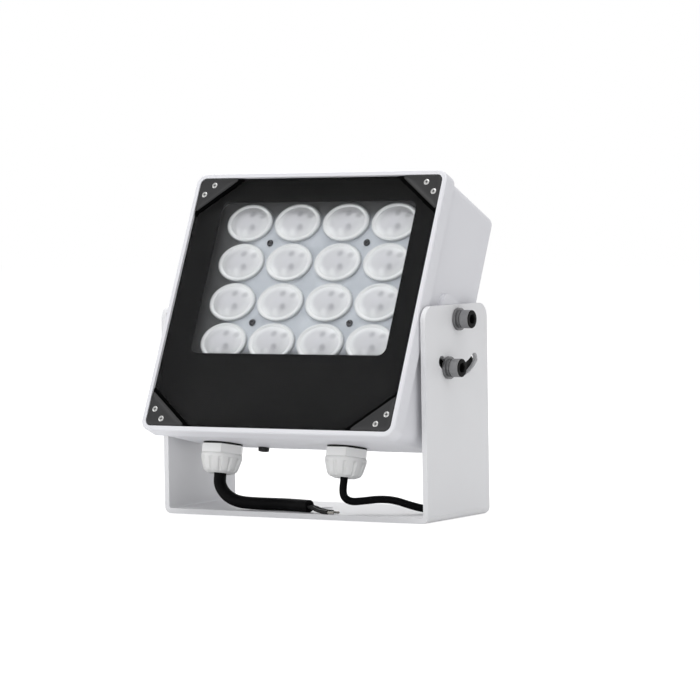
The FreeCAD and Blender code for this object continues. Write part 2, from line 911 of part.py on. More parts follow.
def gland_cap(cable_d):
    """The domed cap nut, ribbed for grip, around the threaded stub and the seal."""
    top = -washer_ring_t - gland_hex_t
    low = top - cap_straight
    end = low - cap_dome
    middle = Vector(cap_r - cap_dome_in, 0, (low + end) / 2 - cap_dome_out)
    outline = [
        Part.LineSegment(Vector(0, 0, top), Vector(cap_r, 0, top)).toShape(),
        Part.LineSegment(Vector(cap_r, 0, top), Vector(cap_r, 0, low)).toShape(),
        Part.Arc(Vector(cap_r, 0, low), middle, Vector(cap_mouth_r, 0, end)).toShape(),
        Part.LineSegment(Vector(cap_mouth_r, 0, end), Vector(0, 0, end)).toShape(),
        Part.LineSegment(Vector(0, 0, end), Vector(0, 0, top)).toShape(),
    ]
    cap = Part.Face(Part.Wire(outline)).revolve(Vector(0, 0, 0), Z_AXIS, 360)
    ribs = []
    for i in range(cap_rib_count):
        a = 2 * math.pi * i / cap_rib_count
        place = Vector(cap_r * math.cos(a), cap_r * math.sin(a), low - cap_rib_below)
        rib_l = cap_rib_below + cap_straight - cap_rib_above
        ribs.append(Part.makeCylinder(cap_rib_r, rib_l, place))
    cap = cap.cut(Part.makeCompound(ribs))
    inside = gland_thread_r + thread_clearance
    cap = cap.cut(Part.makeCylinder(inside, top - seal_bottom(), Vector(0, 0, seal_bottom())))
    return cap.cut(Part.makeCylinder(cable_d / 2 + hole_clearance, cap_dome, Vector(0, 0, end)))


def gland_mouth():
    return -washer_ring_t - gland_hex_t - cap_straight - cap_dome


def vent_plug():
    head = Part.makeCylinder(vent_r, vent_t, Vector(0, 0, -vent_t))
    low = [e for e in head.Edges if e.BoundBox.ZMax < -vent_t + select_tol]
    head = head.makeFillet(vent_edge_r, low)
    return head.fuse(Part.makeCylinder(vent_thread_r, wall + tip_clearance, Vector(0, 0, 0)))


# Leads
def cable_path(points):
    """Straight runs joined by tangent arcs, each as large as its two runs allow."""
    vectors = [Vector(*p) for p in points]
    edges = []
    last = vectors[0]
    smallest = None
    for before, here, after in zip(vectors, vectors[1:], vectors[2:]):
        back = (before - here).normalize()
        ahead = (after - here).normalize()
        turn = math.pi - back.getAngle(ahead)
        cut = 0.45 * min((before - here).Length, (after - here).Length)
        radius = cut / math.tan(turn / 2)
        smallest = radius if smallest is None else min(smallest, radius)
        start = here + back * cut
        end = here + ahead * cut
        bisector = (back + ahead).normalize()
        centre = here + bisector * (radius / math.cos(turn / 2))
        edges.append(Part.LineSegment(last, start).toShape())
        edges.append(Part.Arc(start, centre - bisector * radius, end).toShape())
        last = end
    edges.append(Part.LineSegment(last, vectors[-1]).toShape())
    print("tightest bend", round(smallest, 1), "length", round(sum(e.Length for e in edges), 1))
    return Part.Wire(edges)


def cable_tube(points, diameter):
    path = cable_path(points)
    start = Vector(*points[0])
    direction = Vector(*points[1]) - start
    section = Part.Wire(Part.makeCircle(diameter / 2, start, direction))
    swept = path.makePipeShell([section], True, False)
    print("volume ratio", round(swept.Volume / (math.pi * diameter**2 / 4 * path.Length), 4))
    return swept


def world_point(local):
    """A point of the head's own frame, in the place where the head rests."""
    return tilted(Part.Vertex(local)).Point


def mouth_point(x, z):
    """A point on a gland's axis, z above the underside."""
    return world_point(on_underside(Part.Vertex(Vector(0, 0, z)), x, gland_along).Point)


def lead_points(x, route):
    """From inside the gland, straight out of its mouth, then along the route by hand."""
    inside = mouth_point(x, seal_bottom() + seal_length)
    outside = mouth_point(x, gland_mouth() - mouth_run)
    return [tuple(inside), tuple(outside)] + route


def core_pair(points, diameter, length):
    """Two bare cores that come out of a lead's end and lie side by side."""
    end = Vector(*points[-1])
    along = (end - Vector(*points[-2])).normalize()
    side = Vector(-along.y, along.x, 0).normalize() * (diameter * 0.6)
    fall = diameter / 2 - end.z + resting_height(end)
    pair = []
    for sign in (-1, 1):
        start = end + side * sign
        tip = start + along * length + side * (sign * 0.8) + Vector(0, 0, fall)
        pair.append(Part.makeCylinder(diameter / 2, (tip - start).Length, start, tip - start))
    return Part.makeCompound(pair)


def resting_height(point):
    on_base = abs(point.x) < arm_inner and abs(point.y) < arm_depth / 2
    return sheet if on_base else 0.0


def inner_cores(x, cable_d, core_d, way):
    """Two cores from a lead's sheath inside the head up to the terminal block."""
    start_z = seal_bottom() + seal_length
    low = on_underside(Part.Vertex(Vector(0, 0, start_z)), x, gland_along).Point
    high = on_underside(Part.Vertex(Vector(0, 0, wall + gland_inside + core_lead_in)), x, gland_along).Point
    z0 = driver_rise - driver_h / 2 + terminal_edge
    y = at_depth(driver_front) - terminal_t / 2
    pair = []
    for i in (0, 1):
        offset = (i - 0.5) * 1.5 * core_d
        entry_x = (way + i - (terminal_ways - 1) / 2) * terminal_w / terminal_ways
        points = [
            (low.x + offset, low.y, low.z),
            (high.x + offset, high.y, high.z),
            ((high.x + entry_x) / 2 + offset, (high.y + y) / 2, z0 - core_dip + way),
            (entry_x, y, z0 - core_rise),
            (entry_x, y, z0),
        ]
        pair.append(cable_tube(points, core_d))
    return Part.makeCompound(pair)


def build():
    os.makedirs("parts", exist_ok=True)
    save("bracket", bracket())
    head = {
        "housing": housing(),
        "front_glass": front_glass(),
        "printed_border": printed_border(),
        "glass_gasket": gasket(),
        "clamp_screws": clamp_screws(),
        "lens_tray": lens_tray(),
        "led_board": plain_board(
            board_w,
            board_h,
            array_rise,
            board_front,
            spreader_front,
            board_screw_places(),
            array_screw_r,
        ),
        "led_emitters": emitters(),
        "heat_spreader": plain_board(
            spreader_w,
            tray_h,
            array_rise,
            spreader_front,
            spreader_back,
            board_screw_places(),
            array_screw_r,
        ),
        "array_screws": array_screws(),
        "driver_board": driver_board(),
        "driver_coil": driver_coil(),
        "driver_capacitors": driver_capacitors(),
        "driver_chips": driver_chips(),
        "terminal_block": terminal_block(),
        "driver_screws": driver_screws(),
        "flat_washers": flat_washers(),
        "spring_washers": spring_washers(),
        "vent_plug": on_underside(vent_plug(), vent_x, vent_along),
        "power_inner_cores": inner_cores(power_gland_x, power_d, power_core_d, 0),
        "signal_inner_cores": inner_cores(signal_gland_x, signal_d, signal_core_d, 2),
    }
    names = {(-1, 1): "top_left", (1, 1): "top_right", (-1, -1): "bottom_left", (1, -1): "bottom_right"}
    for sx, sz in corners():
        head["corner_clamp_" + names[(sx, sz)]] = corner_clamp(sx, sz)
    for row, column in lens_sites():
        head["lens_r%d_c%d" % (row + 1, column + 1)] = lens(row, column)
    for name, z in (("pivot", 0), ("lock", -lock_radius)):
        head[name + "_bolt_right"] = bolt(z)
        head[name + "_bolt_left"] = mirrored(bolt(z))
    for name, x, d in (("power", power_gland_x, power_d), ("signal", signal_gland_x, signal_d)):
        pieces = {
            "gland_body": gland_body(d),
            "gland_washer": gland_washer(),
            "gland_nut": gland_nut(),
            "gland_seal": gland_seal(d),
            "gland_cap": gland_cap(d),
        }
        for piece, shape in pieces.items():
            head[name + "_" + piece] = on_underside(shape, x, gland_along)
    for name, shape in head.items():
        save(name, tilted(shape))
    power = lead_points(power_gland_x, power_route)
    signal = lead_points(signal_gland_x, signal_route)
    power_lead = cable_tube(power, power_d)
    signal_lead = cable_tube(signal, signal_d)
    save("power_lead", power_lead)
    save("signal_lead", signal_lead)
    save("power_lead_cores", core_pair(power, power_core_d, power_core_l).cut(power_lead))
    save("signal_lead_cores", core_pair(signal, signal_core_d, signal_core_l).cut(signal_lead))
    for name, x in (("power", power_gland_x), ("signal", signal_gland_x)):
        mouth = mouth_point(x, gland_mouth())
        print(name, "mouth", [round(v, 2) for v in mouth])


build()
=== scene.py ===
"""Infrared illuminator: a sealed lamp head with a four by four lens array, held in a folded U-bracket."""
import math

import bmesh
import bpy
import numpy as np
from mathutils import Matrix, Vector


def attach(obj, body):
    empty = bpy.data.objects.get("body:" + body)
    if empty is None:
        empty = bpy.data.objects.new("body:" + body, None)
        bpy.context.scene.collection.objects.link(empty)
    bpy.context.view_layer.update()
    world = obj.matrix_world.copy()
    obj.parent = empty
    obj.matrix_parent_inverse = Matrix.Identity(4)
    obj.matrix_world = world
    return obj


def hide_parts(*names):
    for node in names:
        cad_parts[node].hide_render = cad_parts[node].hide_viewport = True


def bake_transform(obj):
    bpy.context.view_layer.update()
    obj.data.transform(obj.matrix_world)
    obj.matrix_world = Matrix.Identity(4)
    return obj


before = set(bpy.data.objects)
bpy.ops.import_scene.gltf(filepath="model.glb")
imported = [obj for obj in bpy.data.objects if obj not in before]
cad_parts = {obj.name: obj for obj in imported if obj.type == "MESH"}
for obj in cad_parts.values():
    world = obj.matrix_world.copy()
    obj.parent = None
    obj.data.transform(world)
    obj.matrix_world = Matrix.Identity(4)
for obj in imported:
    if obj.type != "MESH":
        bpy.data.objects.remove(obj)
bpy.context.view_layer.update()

scene = bpy.context.scene
scene.view_settings.view_transform = "Standard"

# Camera: it stands in front of the lamp and to its right, about as high as the head's top, and looks
# across it with a long lens.
camera_place = (1.05051, -1.65016, 0.18318)
turn, dip, roll = np.radians([32.043, -2.685, -0.948])
focal_pixels, picture_pixels = 3500.0, 700.0
forward = np.array([-math.sin(turn) * math.cos(dip), math.cos(turn) * math.cos(dip), math.sin(dip)])
level = np.array([math.cos(turn), math.sin(turn), 0.0])
lifted = np.cross(level, forward)
across = level * math.cos(roll) + lifted * math.sin(roll)
upright = lifted * math.cos(roll) - level * math.sin(roll)
camera_data = bpy.data.cameras.new("camera")
camera_data.sensor_width = 36.0
camera_data.lens = camera_data.sensor_width * focal_pixels / picture_pixels
camera_data.clip_start = 0.05
camera = bpy.data.objects.new("camera", camera_data)
scene.collection.objects.link(camera)
camera_rows = [[across[i], upright[i], -forward[i], camera_place[i]] for i in range(3)]
camera.matrix_world = Matrix(camera_rows + [[0.0, 0.0, 0.0, 1.0]])
scene.camera = camera


# Paper sweep: the lamp stands on white paper in a pale room. The camera, a gloss and the glass see
# both at full white, the floor keeps a soft shadow, and the lighting from them is dimmer.
def combine(tree, operation, first, second):
    """The result of a math node. first comes from a node, and second does too or is a number."""
    node = tree.nodes.new("ShaderNodeMath")
    node.operation = operation
    tree.links.new(first, node.inputs[0])
    if isinstance(second, float):
        node.inputs[1].default_value = second
    else:
        tree.links.new(second, node.inputs[1])
    return node.outputs[0]


def seen_directly(tree):
    """The greatest of Is Camera Ray, Is Glossy Ray and Is Transmission Ray, times 1 before the first
    diffuse bounce and 0 after it: so it is 0 for lighting rays, also for those that cross the glass."""
    path = tree.nodes.new("ShaderNodeLightPath")
    seen = combine(tree, "MAXIMUM", path.outputs["Is Camera Ray"], path.outputs["Is Glossy Ray"])
    seen = combine(tree, "MAXIMUM", seen, path.outputs["Is Transmission Ray"])
    unlit = combine(tree, "LESS_THAN", path.outputs["Diffuse Depth"], 0.5)
    return combine(tree, "MULTIPLY", seen, unlit)


def plain_shader(tree, kind, colour, strength=None):
    """A shader node of one even colour, with a strength where it has one."""
    shader = tree.nodes.new(kind)
    shader.inputs["Color"].default_value = (*colour, 1.0)
    if strength is not None:
        shader.inputs["Strength"].default_value = strength
    return shader


def choose_shader(tree, choice, first, second, output):
    """Sends the first shader to an output where choice is 0, and the second where it is 1."""
    mix = tree.nodes.new("ShaderNodeMixShader")
    for source, socket in zip((choice, first.outputs[0], second.outputs[0]), mix.inputs):
        tree.links.new(source, socket)
    tree.links.new(mix.outputs[0], output.inputs["Surface"])


world = bpy.data.worlds.new("pale_room")
scene.world = world
world.use_nodes = True
tree = world.node_tree
tree.nodes.clear()
lit_room = plain_shader(tree, "ShaderNodeBackground", (0.97, 0.98, 1.0), 0.42)
seen_room = plain_shader(tree, "ShaderNodeBackground", (1.0, 1.0, 1.0), 1.0)
choose_shader(tree, seen_directly(tree), lit_room, seen_room, tree.nodes.new("ShaderNodeOutputWorld"))

paper = bpy.data.materials.new("floor_paper")
paper.use_nodes = True
tree = paper.node_tree
tree.nodes.clear()
lit_paper = plain_shader(tree, "ShaderNodeBsdfDiffuse", (0.85, 0.85, 0.85))
shaded_paper = plain_shader(tree, "ShaderNodeBsdfDiffuse", (0.40, 0.40, 0.40))
paper_glow = plain_shader(tree, "ShaderNodeEmission", (1.0, 1.0, 1.0), 0.84)
seen_paper = tree.nodes.new("ShaderNodeAddShader")
tree.links.new(shaded_paper.outputs[0], seen_paper.inputs[0])
tree.links.new(paper_glow.outputs[0], seen_paper.inputs[1])
choose_shader(tree, seen_directly(tree), lit_paper, seen_paper, tree.nodes.new("ShaderNodeOutputMaterial"))

reach = 5.0
floor_mesh = bpy.data.meshes.new("floor")
floor_mesh.from_pydata(
    [(-reach, -reach, 0), (reach, -reach, 0), (reach, reach, 0), (-reach, reach, 0)], [], [(0, 1, 2, 3)]
)
floor_mesh.materials.append(paper)
floor = bpy.data.objects.new("floor", floor_mesh)
scene.collection.objects.link(floor)

# Softboxes: one overhead, one behind on the left that reaches the bracket's base under the head, and
# fainter ones in front, on the left and on the right. None stands where the glass would mirror it.
softbox_aim = Vector((0.0, 0.0, 0.1))
for name, place, size, power in (
    ("overhead_softbox", (0.0, -0.20, 1.55), 1.2, 12.6),
    ("rear_softbox", (-1.2, 1.20, 1.20), 0.8, 13.0),
    ("front_softbox", (0.35, -1.75, 0.28), 1.0, 7.0),
    ("left_softbox", (-1.6, -0.9, 0.2), 0.8, 6.0),
    ("side_softbox", (1.9, 0.1, 0.8), 1.1, 4.0),
):
    light = bpy.data.lights.new(name, "AREA")
    light.shape = "SQUARE"
    light.size = size
    light.energy = power
    holder = bpy.data.objects.new(name, light)
    scene.collection.objects.link(holder)
    holder.location = place
    holder.rotation_euler = (softbox_aim - Vector(place)).to_track_quat("-Z", "Y").to_euler()

# Leads: two black sheathed cables that leave the glands straight down and bend to lie on the bracket.
# The thick power lead ends on the base, and its two cores go on to the front edge. The thin signal
# lead passes behind the right arm and off the back.
power_diameter = 0.0070
power_exit = (-0.0555, -0.02312, 0.02252)
power_route = np.array([
    (-55.5, -21.1, 32.5), (-55.5, -23.3, 21.5),
    (-54.9, -24.6, 16.2), (-50.0, -25.6, 10.6), (-42.0, -25.6, 7.2), (-31.0, -24.2, 6.6),
    (-19.0, -22.6, 6.5), (-7.0, -22.6, 6.5), (6.5, -26.6, 6.5),
]) / 1000
signal_diameter = 0.0042
signal_exit = (0.0270, -0.02312, 0.02252)
signal_route = np.array([
    (27.0, -21.1, 32.5), (27.0, -23.3, 21.5),
    (27.0, -24.9, 16.0), (27.6, -24.6, 11.8), (30.6, -22.4, 9.4), (36.5, -19.0, 9.8),
    (45.0, -16.0, 10.9), (54.0, -14.0, 10.4), (63.0, -12.2, 7.6), (71.5, -8.0, 5.2),
    (76.0, 1.0, 5.1), (74.5, 12.5, 5.1), (68.5, 24.0, 5.2), (61.5, 35.5, 5.3),
    (55.5, 45.5, 3.6), (49.0, 56.0, 2.1), (42.5, 67.5, 2.1),
]) / 1000


def lead_line(route):
    """The smooth line that a lead takes: a NURBS spline of order 3 with the route as its control points."""
    curve = bpy.data.curves.new("lead_line", "CURVE")
    curve.dimensions = "3D"
    curve.resolution_u = 14
    spline = curve.splines.new("NURBS")
    spline.points.add(len(route) - 1)
    spline.points.foreach_set("co", np.c_[route, np.ones(len(route))].ravel())
    spline.order_u = 3
    spline.use_endpoint_u = True
    holder = bpy.data.objects.new("lead_line", curve)
    scene.collection.objects.link(holder)
    mesh = bpy.data.meshes.new_from_object(holder)
    line = np.zeros(len(mesh.vertices) * 3)
    mesh.vertices.foreach_get("co", line)
    bpy.data.objects.remove(holder)
    bpy.data.curves.remove(curve)
    bpy.data.meshes.remove(mesh)
    return line.reshape(-1, 3)


def grid_piece(name, grids, *materials, tones=None, crease=38.0):
    """A piece from arrays of rings, each (rows, columns, 3). The columns of a ring join up, neighbouring
    rows share four-sided faces, and a ring that has shrunk to a point closes the shape. Coincident
    points are merged, the faces are turned outwards, and edges over crease degrees stay sharp. tones
    gives the material number of each row of faces."""
    points, faces, kinds, start = [], [], [], 0
    for grid in grids:
        rows, columns = grid.shape[:2]
        row, column = np.meshgrid(np.arange(rows - 1), np.arange(columns), indexing="ij")
        a = start + row * columns + column
        b = start + row * columns + (column + 1) % columns
        faces.append(np.stack([a, b, b + columns, a + columns], -1).reshape(-1, 4))
        kinds.append(np.repeat(np.zeros(rows - 1, int) if tones is None else np.array(tones), columns))
        points.append(grid.reshape(-1, 3))
        start += rows * columns
    mesh = bpy.data.meshes.new(name)
    mesh.from_pydata(np.concatenate(points).tolist(), [], np.concatenate(faces).tolist())
    for material in materials:
        mesh.materials.append(material)
    mesh.polygons.foreach_set("material_index", np.concatenate(kinds))
    work = bmesh.new()
    work.from_mesh(mesh)
    bmesh.ops.remove_doubles(work, verts=work.verts, dist=2e-6)
    bmesh.ops.recalc_face_normals(work, faces=work.faces)
    work.to_mesh(mesh)
    work.free()
    mesh.polygons.foreach_set("use_smooth", np.ones(len(mesh.polygons), bool))
    mesh.set_sharp_from_angle(angle=math.radians(crease))
    piece = bpy.data.objects.new(name, mesh)
    scene.collection.objects.link(piece)
    return piece


def round_line(line, radii, sides):
    """Rings along a line: ring i is line_i + radii_i (cos v * a_i + sin v * b_i), where a_i is the part
    of one fixed direction that is square to the line and b_i is square to both."""
    along = np.gradient(line, axis=0)
    along /= np.linalg.norm(along, axis=1, keepdims=True)
    fixed = np.array([0.5, -0.7, 0.5])
    a = fixed - (along @ fixed)[:, None] * along
    a /= np.linalg.norm(a, axis=1, keepdims=True)
    b = np.cross(along, a)
    v = np.linspace(0, 2 * math.pi, sides, endpoint=False)
    ring = np.cos(v)[None, :, None] * a[:, None] + np.sin(v)[None, :, None] * b[:, None]
    return line[:, None] + np.reshape(radii, (-1, 1, 1)) * ring


def capped_line(line, radius, sides):
    """A round bar along a line. Each end has a slanted edge 0.15 radius wide and a nearly flat face that
    closes in a point."""
    edge, flat = 0.15 * radius, 0.02
    ahead = line[1] - line[0]
    ahead *= edge / np.linalg.norm(ahead)
    astern = line[-2] - line[-1]
    astern *= edge / np.linalg.norm(astern)
    centres = np.concatenate([
        [line[0], line[0] + flat * ahead, line[0] + ahead], line[1:-1],
        [line[-1] + astern, line[-1] + flat * astern, line[-1]],
    ])
    radii = np.full(len(centres), radius)
    radii[[0, -1]] = 0.0
    radii[[1, -2]] = radius - edge
    return round_line(centres, radii, sides)


def new_material(name):
    """A new material, its node tree and its surface node."""
    material = bpy.data.materials.new(name)
    material.use_nodes = True
    return material, material.node_tree, material.node_tree.nodes["Principled BSDF"]


def noise(tree, place, scale, detail):
    """A noise whose value varies about 0.5, with 1 / scale as the width of its grains."""
    texture = tree.nodes.new("ShaderNodeTexNoise")
    texture.inputs["Scale"].default_value = scale
    texture.inputs["Detail"].default_value = detail
    tree.links.new(place, texture.inputs["Vector"])
    return texture.outputs["Fac"]


def ranged(tree, value, low, high, start=0.0, end=1.0, kind="LINEAR"):
    """Goes from low to high as a value goes from start to end, and stays at them outside."""
    node = tree.nodes.new("ShaderNodeMapRange")
    node.interpolation_type = kind
    node.inputs["From Min"].default_value = start
    node.inputs["From Max"].default_value = end
    node.inputs["To Min"].default_value = low
    node.inputs["To Max"].default_value = high
    tree.links.new(value, node.inputs["Value"])
    return node.outputs["Result"]


def colour_mix(tree, share, first, second):
    """The first colour where share is 0 and the second where it is 1. Either may come from a node."""
    node = tree.nodes.new("ShaderNodeMix")
    node.data_type = "RGBA"
    tree.links.new(share, node.inputs["Factor"])
    for colour, socket in ((first, node.inputs["A"]), (second, node.inputs["B"])):
        if isinstance(colour, (tuple, list)):
            socket.default_value = (*colour, 1.0)
        else:
            tree.links.new(colour, socket)
    return node.outputs["Result"]


def finish(name, colour, rough, grain, depth, metal=0.0, drift=0.05, gloss=0.5):
    """A surface finish. A broad noise, 24 grains wide, drifts the colour by a share of drift and the
    roughness by 0.06, and a fine noise whose grains are grain metres wide raises a bump of depth
    metres."""
    broad_grains, rough_drift, least_rough = 24, 0.06, 0.03
    material, tree, surface = new_material(name)
    surface.inputs["Metallic"].default_value = metal
    surface.inputs["Specular IOR Level"].default_value = gloss
    place = tree.nodes.new("ShaderNodeTexCoord").outputs["Object"]
    broad = noise(tree, place, 1 / (grain * broad_grains), 4.0)
    fine = noise(tree, place, 1 / grain, 2.0)
    darker = [c * (1 - drift) for c in colour]
    lighter = [min(1.0, c * (1 + drift)) for c in colour]
    sheen = ranged(tree, broad, max(least_rough, rough - rough_drift), min(1.0, rough + rough_drift))
    bump = tree.nodes.new("ShaderNodeBump")
    bump.inputs["Distance"].default_value = depth
    tree.links.new(colour_mix(tree, broad, darker, lighter), surface.inputs["Base Color"])
    tree.links.new(sheen, surface.inputs["Roughness"])
    tree.links.new(fine, bump.inputs["Height"])
    tree.links.new(bump.outputs["Normal"], surface.inputs["Normal"])
    return material


def dress(material, *nodes):
    """Gives CAD nodes a material."""
    for node in nodes:
        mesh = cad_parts[node].data
        mesh.materials.clear()
        mesh.materials.append(material)


def fit(piece, slot, body, *nodes):
    """Hangs a new piece on a body in place of CAD nodes. The slot argument is not used."""
    if nodes:
        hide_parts(*nodes)
    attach(piece, body)
    return piece


def core_line(start, ahead, side, sign, diameter, length, rest):
    """The line of one core: it starts inside the sheath, drops to rest, and spreads sideways."""
    steps = np.array([-0.12, 0.12, 0.35, 0.62, 1.0])[:, None] * length
    spread = diameter * np.array([0.45, 0.5, 0.75, 0.95, 0.85])[:, None] * sign
    points = start + ahead * steps + side * spread
    points[:, 2] = start[2] + (rest - start[2]) * np.array([0.0, 0.1, 0.75, 1.0, 1.0])
    return lead_line(points)


def cores(name, route, diameter, length, rest, bare, body, node):
    """Two insulated cores out of a lead's end, each with its last part stripped to the tinned strands."""
    strand_radius = diameter * 0.31
    ahead = route[-1] - route[-2]
    ahead /= np.linalg.norm(ahead)
    side = np.array([-ahead[1], ahead[0], 0.0])
    sleeves, strands = [], []
    for sign in (-1, 1):
        line = core_line(route[-1], ahead, side, sign, diameter, length, rest)
        cut = int(len(line) * (1 - bare))
        sleeves.append(capped_line(line[:cut], diameter / 2, 20))
        strands.append(capped_line(line[cut - 1:], strand_radius, 14))
    insulated = fit(grid_piece(name, sleeves, core_sleeve), "core_sleeve", body, node)
    stripped = fit(grid_piece(name + "_strands", strands, tinned_copper), "screw_steel", body)
    return [insulated, stripped]


sheath = finish("lead_sheath", (0.002, 0.002, 0.0023), 0.6, 0.0012, 0.00002, gloss=0.06)
core_sleeve = finish("core_sleeve", (0.004, 0.004, 0.004), 0.5, 0.0008, 0.00001, gloss=0.15)
tinned_copper = finish("tinned_copper", (0.25, 0.24, 0.22), 0.45, 0.0003, 0.00003, metal=1.0)
dress(core_sleeve, "power_inner_cores", "signal_inner_cores")

power_line = lead_line(power_route)
power_sheath = grid_piece("power_lead_sheath", [capped_line(power_line, power_diameter / 2, 36)], sheath)
fit(power_sheath, "lead_black", "head", "power_lead")
power_cores = cores("power_core_sleeves", power_route, diameter=0.0022, length=0.022, rest=0.0042,
                    bare=0.1, body="head", node="power_lead_cores")

signal_line = lead_line(signal_route)
signal_sheath = grid_piece("signal_lead_sheath", [capped_line(signal_line, signal_diameter / 2, 28)], sheath)
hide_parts("signal_lead")
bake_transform(signal_sheath)
signal_cores = cores("signal_core_sleeves", signal_route, diameter=0.0013, length=0.010, rest=0.0007,
                     bare=0.3, body="bracket", node="signal_lead_cores")

# Bracket: one 3 mm steel sheet, laser cut with its holes and arc slots, folded into a U, and powder
# coated in a fine satin white.
bracket_coat = finish("bracket_powder_coat", (0.80, 0.80, 0.812), 0.42, 0.0007, 0.000012, drift=0.012)
dress(bracket_coat, "bracket")

# Head casting: aluminium, with a rim band in front and cooling grooves behind, in the same white
# coat over a slightly coarser cast skin.
casting_coat = finish("casting_powder_coat", (0.765, 0.765, 0.795), 0.46, 0.0009, 0.00002, drift=0.015)
dress(casting_coat, "housing")

# Slot covers: a thin near-black strip behind each arc slot, put there as painted shade in the slot. The lock
# screw holds it, so it turns with the head: it keeps the whole slot dark at rest, and a third of it when the
# head is fully forward.
head_tilt = math.radians(24.0)
pivot_y, pivot_z = 0.0015, 0.1095
rim_to_pivot = 0.034
lock_radius = 0.0285
strip_half_width = 0.0038
strip_inner_x, strip_outer_x = 0.08322, 0.08340
strip_start, strip_end = np.radians([-25.0, 67.0])


def on_head(x, depth, up):
    """Places points of the upright head, given across, behind the rim's front and up the face: the
    point turns back by the tilt about the pivot's axis."""
    back = depth - rim_to_pivot
    y = back * math.cos(head_tilt) + up * math.sin(head_tilt) + pivot_y
    z = -back * math.sin(head_tilt) + up * math.cos(head_tilt) + pivot_z
    return np.stack(np.broadcast_arrays(x, y, z), -1)


def slot_cover(side):
    """A strip of four-cornered section along an arc under the pivot: the angle runs along the strip,
    and the section's corners are at two radii and two places across. Its two ends are closed."""
    run = np.linspace(strip_start, strip_end, 48)
    angle = np.concatenate([run[:1], run, run[-1:]])[:, None]
    size = np.ones_like(angle)
    size[[0, -1]] = 0.0
    r = lock_radius + strip_half_width * np.array([-1, 1, 1, -1]) * size
    middle_x = (strip_inner_x + strip_outer_x) / 2
    half_thick = (strip_outer_x - strip_inner_x) / 2
    x = side * (middle_x + half_thick * np.array([-1, -1, 1, 1]) * size)
    return on_head(x, r * np.sin(angle) + rim_to_pivot, -r * np.cos(angle))


# Near-black painted shade for the inside of each slot.
slot_shade_black = finish("painted_slot_shade", (0.006, 0.006, 0.006), 0.75, 0.0008, 0.00002, gloss=0.2)
fit(grid_piece("slot_covers", [slot_cover(-1), slot_cover(1)], slot_shade_black), "clamp_black", "head")

# Front glass: 4 mm clear float glass with its four corners cut off, on a rubber gasket, with a black
# border printed on its back round the window.
front_glass, tree, clear = new_material("front_glass")
clear.inputs["Base Color"].default_value = (0.98, 0.99, 0.985, 1.0)
clear.inputs["Roughness"].default_value = 0.015
clear.inputs["IOR"].default_value = 1.2
clear.inputs["Transmission Weight"].default_value = 1.0
passing = plain_shader(tree, "ShaderNodeBsdfTransparent", (0.97, 0.975, 0.97))
shadow_ray = tree.nodes.new("ShaderNodeLightPath").outputs["Is Shadow Ray"]
choose_shader(tree, shadow_ray, clear, passing, tree.nodes["Material Output"])
smears = noise(tree, tree.nodes.new("ShaderNodeTexCoord").outputs["Object"], 22.0, 3.0)
tree.links.new(ranged(tree, smears, 0.008, 0.03), clear.inputs["Roughness"])
dress(front_glass, "front_glass")
dress(finish("border_print", (0.0035, 0.0035, 0.004), 0.5, 0.0006, 0.000001, gloss=0.04), "printed_border")
rubber = finish("seal_rubber", (0.012, 0.012, 0.012), 0.7, 0.0008, 0.00002, gloss=0.25)
dress(rubber, "glass_gasket", "power_gland_seal", "signal_gland_seal", "power_gland_washer",
      "signal_gland_washer")

# Corner clamps: a triangular moulding of black polyamide in each corner of the face. Its lip laps over
# the glass's cut corner, over a near-black strip of painted shade that draws the shadow under the lip as a
# dark line, and two screws hold it.
face_right, face_top, face_bottom = 0.080, 0.0717, -0.0783
clamp_leg_x, clamp_leg_up, clamp_gap = 0.0270, 0.0210, 0.00025
clamp_back, clamp_front, clamp_field = 0.00140, 0.00022, 0.00034
clamp_edge_in, clamp_edge_deep = 0.0005, 0.0004
clamp_middle = 0.0060
shade_strip_lap, shade_strip_back, shade_strip_front = 0.0020, 0.00138, 0.00078
clamp_corners = [(sx, sz) for sz in (1, -1) for sx in (-1, 1)]


def rounded_triangle(points, radii, inset, steps):
    """The outline of a triangle with rounded corners, moved inwards by inset. Each corner is an arc
    with its centre on the corner's bisector, radius / sin(half the corner) from the corner. The arc's
    radius shrinks by the inset, and once it is used up the corner itself moves in."""
    outline = []
    for k in range(3):
        before, here, after = points[k - 1], points[k], points[(k + 1) % 3]
        back = (before - here) / np.linalg.norm(before - here)
        ahead = (after - here) / np.linalg.norm(after - here)
        half = math.acos(np.clip(back @ ahead, -1, 1)) / 2
        bisector = (back + ahead) / np.linalg.norm(back + ahead)
        radius = max(radii[k] - inset, 0.00005)
        centre = here + bisector * (inset + radius) / math.sin(half)
        first = math.atan2(back[0], -back[1])
        last = math.atan2(-ahead[0], ahead[1])
        if last < first:
            last += 2 * math.pi
        angle = np.linspace(first, last, steps)
        outline.append(centre + radius * np.stack([np.cos(angle), np.sin(angle)], -1))
    return np.concatenate(outline)


def clamp_triangle(grow):
    """The upper right clamp's corners in the face, counter-clockwise from the face's corner, with the
    slanted edge moved out by grow."""
    slant = math.hypot(clamp_leg_x, clamp_leg_up)
    leg_x = clamp_leg_x + grow * slant / clamp_leg_up
    leg_up = clamp_leg_up + grow * slant / clamp_leg_x
    return np.array([[-clamp_gap, -clamp_gap], [-leg_x, -clamp_gap], [-clamp_gap, -leg_up]])


def in_corner(sx, sz, flat, depth):
    """Moves a piece drawn for the upper right corner to the corner on the sides sx and sz."""
    edge = face_top if sz > 0 else face_bottom
    return on_head(sx * (face_right + flat[..., 0]), depth, edge + sz * flat[..., 1])


def corner_rings(sx, sz, triangle, radii, steps, section):
    """Rings of a moulding in a corner: a rounded triangle at the insets and depths of a section, from
    the back round the edge to the front, closed in the middle of the first and of the last."""
    rings = [in_corner(sx, sz, rounded_triangle(triangle, radii, inset, steps), depth)
             for inset, depth in section]
    back, front = [np.broadcast_to(ring.mean(0), ring.shape) for ring in (rings[0], rings[-1])]
    return np.stack([back, *rings, front])


